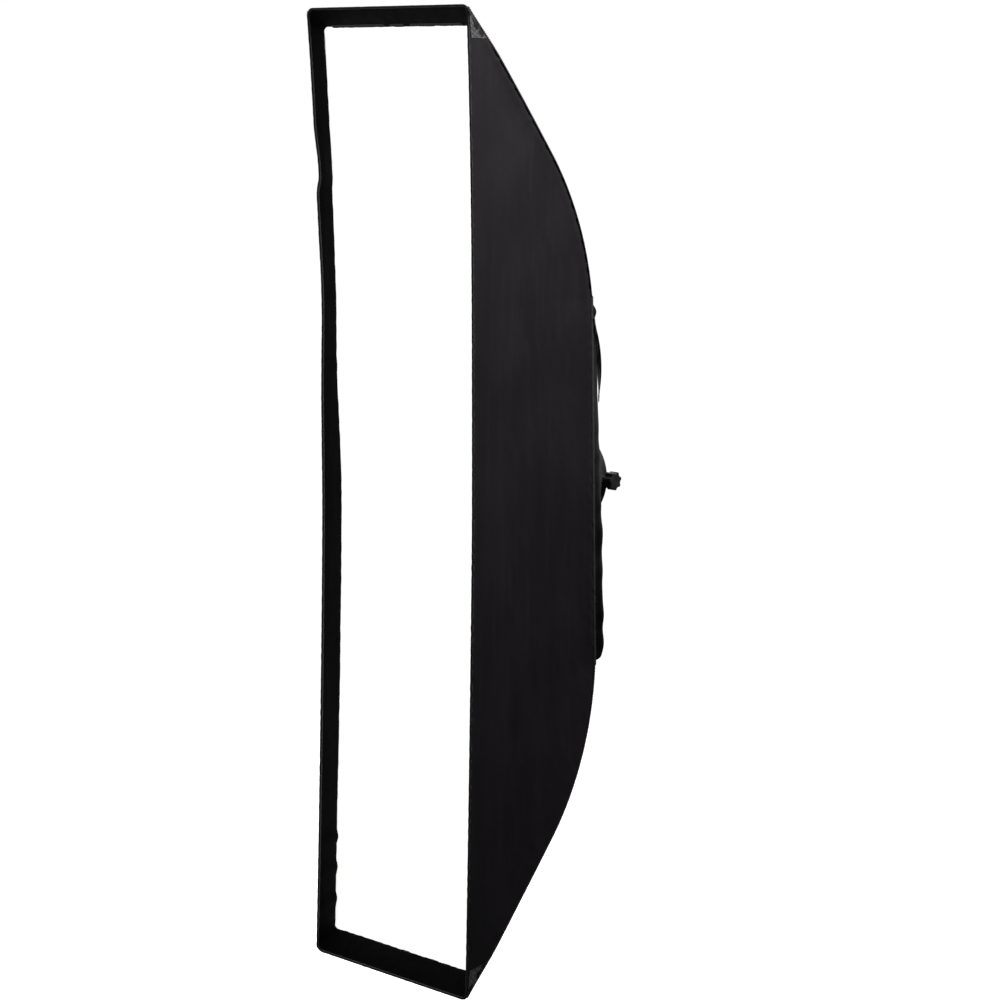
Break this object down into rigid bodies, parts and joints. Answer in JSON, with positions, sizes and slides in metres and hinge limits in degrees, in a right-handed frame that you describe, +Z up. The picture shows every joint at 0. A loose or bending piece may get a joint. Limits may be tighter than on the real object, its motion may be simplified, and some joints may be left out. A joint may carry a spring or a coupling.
{
  "type": "strip softbox",
  "caption": "Tall narrow softbox on a rotating bayonet speed ring, with hinged folding rods, black shell and a recessed white diffuser.",
  "frame": {"origin": "centre of the bayonet adapter's rear mating plane, on the light's axis", "axes": "+Z up along the box's long side, +Y backwards to the light along its axis, the light leaves towards -Y, +X to the near side with the webbing loop"},
  "size_m": [0.35, 0.484, 1.6],
  "materials": {
    "shell_fabric": "black polyester cloth outside, aluminised silver cloth inside",
    "binding_tape": "black twill bias tape with a row of stitching",
    "pocket_webbing": "black ballistic weave",
    "webbing": "black flat webbing",
    "elastic": "black ribbed elastic",
    "diffuser_cloth": "white translucent nylon",
    "baffle_cloth": "white translucent nylon",
    "hook_tape": "black hook tape",
    "loop_tape": "black loop tape",
    "cast_alloy": "black powder coat on cast aluminium",
    "machined_alloy": "turned, clear anodised",
    "steel": "zinc plated",
    "brass": "turned",
    "knob_plastic": "moulded, fine texture",
    "tip_rubber": "moulded",
    "glass_fibre": "black glass fibre"
  },
  "bodies": {
    "adapter": {"bayonet_adapter": "machined_alloy"},
    "ring": {"speed_ring": "cast_alloy", "retainer_plate": "machined_alloy", "retainer_screws": "steel", "lock_bushes": "brass", "pivot_pins": "steel", "collar_band": "elastic", "side_panel_near": "shell_fabric", "side_panel_far": "shell_fabric", "rear_cover_upper": "shell_fabric", "rear_cover_lower": "shell_fabric", "front_binding": "binding_tape", "front_diffuser": "diffuser_cloth", "hook_border": "hook_tape", "inner_baffle": "baffle_cloth", "loop_strip_near": "loop_tape", "loop_strip_far": "loop_tape", "rear_binding_near": "binding_tape", "rear_binding_far": "binding_tape", "webbing_loop": "webbing"},
    "upper_arms": {"upper_near_rod_socket": "cast_alloy", "upper_near_ferrule": "steel", "upper_near_rod": "glass_fibre", "upper_near_rod_tip": "tip_rubber", "upper_near_corner_pocket": "pocket_webbing", "upper_near_seam_binding": "binding_tape", "upper_far_rod_socket": "cast_alloy", "upper_far_ferrule": "steel", "upper_far_rod": "glass_fibre", "upper_far_rod_tip": "tip_rubber", "upper_far_corner_pocket": "pocket_webbing", "upper_far_seam_binding": "binding_tape", "end_panel_upper": "shell_fabric", "loop_strip_upper": "loop_tape", "baffle_tabs_upper": "elastic"},
    "lower_arms": {"lower_near_rod_socket": "cast_alloy", "lower_near_ferrule": "steel", "lower_near_rod": "glass_fibre", "lower_near_rod_tip": "tip_rubber", "lower_near_corner_pocket": "pocket_webbing", "lower_near_seam_binding": "binding_tape", "lower_far_rod_socket": "cast_alloy", "lower_far_ferrule": "steel", "lower_far_rod": "glass_fibre", "lower_far_rod_tip": "tip_rubber", "lower_far_corner_pocket": "pocket_webbing", "lower_far_seam_binding": "binding_tape", "end_panel_lower": "shell_fabric", "loop_strip_lower": "loop_tape", "baffle_tabs_lower": "elastic"},
    "near_pad": {"near_clamp_pad": "brass"},
    "near_knob": {"near_lock_knob": "knob_plastic", "near_lock_stud": "steel"},
    "far_pad": {"far_clamp_pad": "brass"},
    "far_knob": {"far_lock_knob": "knob_plastic", "far_lock_stud": "steel"}
  },
  "joints": [
    {"name": "ring_turn", "type": "hinge", "parent": "adapter", "child": "ring", "pos_m": [0, 0, 0], "axis": [0, 1, 0], "continuous": true},
    {"name": "upper_fold", "type": "hinge", "parent": "ring", "child": "upper_arms", "pos_m": [0, -0.04, 0.06], "axis": [1, 0, 0], "range_deg": [0, 57], "deforming": ["side_panel_near", "side_panel_far", "rear_cover_upper", "rear_cover_lower", "front_binding", "front_diffuser", "hook_border", "inner_baffle", "loop_strip_near", "loop_strip_far", "rear_binding_near", "rear_binding_far", "webbing_loop"]},
    {"name": "lower_fold", "type": "hinge", "parent": "ring", "child": "lower_arms", "pos_m": [0, -0.04, -0.06], "axis": [-1, 0, 0], "range_deg": [0, 57]},
    {"name": "near_pad_slide", "type": "slide", "parent": "ring", "child": "near_pad", "axis": [1, 0, 0], "range_m": [0, 0.0013]},
    {"name": "near_knob_turn", "type": "hinge", "parent": "near_pad", "child": "near_knob", "pos_m": [0.095, -0.012, 0], "axis": [1, 0, 0], "range_deg": [0, 450]},
    {"name": "far_pad_slide", "type": "slide", "parent": "ring", "child": "far_pad", "axis": [-1, 0, 0], "range_m": [0, 0.0013]},
    {"name": "far_knob_turn", "type": "hinge", "parent": "far_pad", "child": "far_knob", "pos_m": [-0.095, -0.012, 0], "axis": [-1, 0, 0], "range_deg": [0, 450]}
  ],
  "couplings": [
    {"joint": "lower_fold", "follows": "upper_fold", "ratio": 1},
    {"joint": "near_pad_slide", "follows": "near_knob_turn", "m_per_rad": 0.00015915},
    {"joint": "far_pad_slide", "follows": "far_knob_turn", "m_per_rad": 0.00015915}
  ]
}
